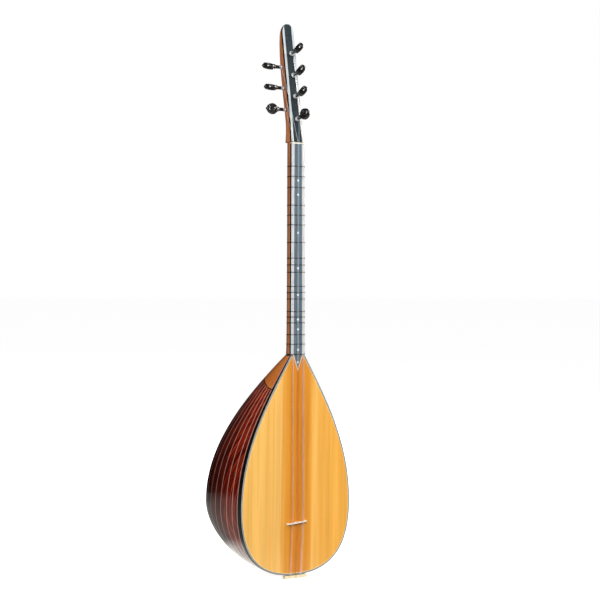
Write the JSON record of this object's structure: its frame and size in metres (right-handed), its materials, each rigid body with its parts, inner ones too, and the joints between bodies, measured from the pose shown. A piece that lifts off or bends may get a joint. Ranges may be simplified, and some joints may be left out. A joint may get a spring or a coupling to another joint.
{
  "type": "short-necked long lute",
  "caption": "Short-necked long lute with a staved pear-shaped bowl, flat soundboard, tied frets, friction pegs and strings in three courses.",
  "frame": {"origin": "middle of the neck's section at the nut, where a hanging loop or stand fork holds the neck", "axes": "+Z along the instrument from tail to peghead, soundboard facing -Y, side pegs pointing to -X"},
  "size_m": [0.2576, 0.2744, 1.1034],
  "materials": {
    "rosewood": "dark red rosewood, high gloss lacquer",
    "ebony": "ebony, polished",
    "neck_wood": "brown hardwood, lacquered",
    "heel_wood": "orange-brown figured hardwood, gloss lacquer",
    "block_wood": "plain softwood, unfinished",
    "spruce": "straight-grained spruce, satin lacquer",
    "pearl": "pearl-like strip, polished",
    "bone": "bone, polished",
    "boxwood": "pale boxwood, satin",
    "peg_black": "black turned and carved peg wood, polished",
    "steel": "plain and wound steel strings",
    "nylon": "tied nylon line, smoky clear"
  },
  "bodies": {
    "root": {"neck": "neck_wood", "fingerboard": "ebony", "nut": "bone", "peghead": "neck_wood", "peghead_overlay": "ebony", "heel_cap": "heel_wood", "neck_block": "block_wood", "tail_block": "block_wood", "tail_cap": "rosewood", "soundboard_left": "spruce", "soundboard_right": "spruce", "edge_binding": "pearl", "rim_band_left": "ebony", "rim_band_right": "ebony", "stave_pair_01": "rosewood", "stave_pair_02": "rosewood", "stave_pair_03": "rosewood", "stave_pair_04": "rosewood", "stave_pair_05": "rosewood", "stave_pair_06": "rosewood", "stave_pair_07": "rosewood", "stave_pair_08": "rosewood", "stave_pair_09": "rosewood", "stave_pair_10": "rosewood", "stave_pair_11": "rosewood", "string_holder": "boxwood", "fret_01": "nylon", "fret_02": "nylon", "fret_03": "nylon", "fret_04": "nylon", "fret_05": "nylon", "fret_06": "nylon", "fret_07": "nylon", "fret_08": "nylon", "fret_09": "nylon", "fret_10": "nylon", "fret_11": "nylon", "fret_12": "nylon", "fret_13": "nylon", "fret_14": "nylon", "fret_15": "nylon", "fret_16": "nylon", "fret_17": "nylon", "fret_18": "nylon", "fret_19": "nylon", "string_1": "steel", "string_2": "steel", "string_3": "steel", "string_4": "steel", "string_5": "steel", "string_6": "steel", "string_7": "steel"},
    "front_peg_1": {"front_peg_1": "peg_black"},
    "front_peg_2": {"front_peg_2": "peg_black"},
    "front_peg_3": {"front_peg_3": "peg_black"},
    "front_peg_4": {"front_peg_4": "peg_black"},
    "side_peg_1": {"side_peg_1": "peg_black"},
    "side_peg_2": {"side_peg_2": "peg_black"},
    "side_peg_3": {"side_peg_3": "peg_black"},
    "bridge": {"bridge": "bone"}
  },
  "joints": [
    {"name": "front_peg_1_turn", "type": "hinge", "parent": "root", "child": "front_peg_1", "pos_m": [0, -0.00547, 0.04869], "axis": [0, -0.9588, 0.284], "continuous": true},
    {"name": "front_peg_2_turn", "type": "hinge", "parent": "root", "child": "front_peg_2", "pos_m": [0, 0.003, 0.09441], "axis": [0, -0.9588, 0.284], "continuous": true},
    {"name": "front_peg_3_turn", "type": "hinge", "parent": "root", "child": "front_peg_3", "pos_m": [0, 0.01084, 0.13669], "axis": [0, -0.9588, 0.284], "continuous": true},
    {"name": "front_peg_4_turn", "type": "hinge", "parent": "root", "child": "front_peg_4", "pos_m": [0, 0.01904, 0.18093], "axis": [0, -0.9588, 0.284], "continuous": true},
    {"name": "side_peg_1_turn", "type": "hinge", "parent": "root", "child": "side_peg_1", "pos_m": [-0.0134, 0.01032, 0.06915], "axis": [-1, 0, 0], "continuous": true},
    {"name": "side_peg_2_turn", "type": "hinge", "parent": "root", "child": "side_peg_2", "pos_m": [-0.0134, 0.01837, 0.11261], "axis": [-1, 0, 0], "continuous": true},
    {"name": "side_peg_3_turn", "type": "hinge", "parent": "root", "child": "side_peg_3", "pos_m": [-0.0134, 0.02621, 0.15489], "axis": [-1, 0, 0], "continuous": true},
    {"name": "bridge_slide", "type": "slide", "parent": "root", "child": "bridge", "axis": [0, 0, 1], "range_m": [-0.003, 0.003]}
  ]
}
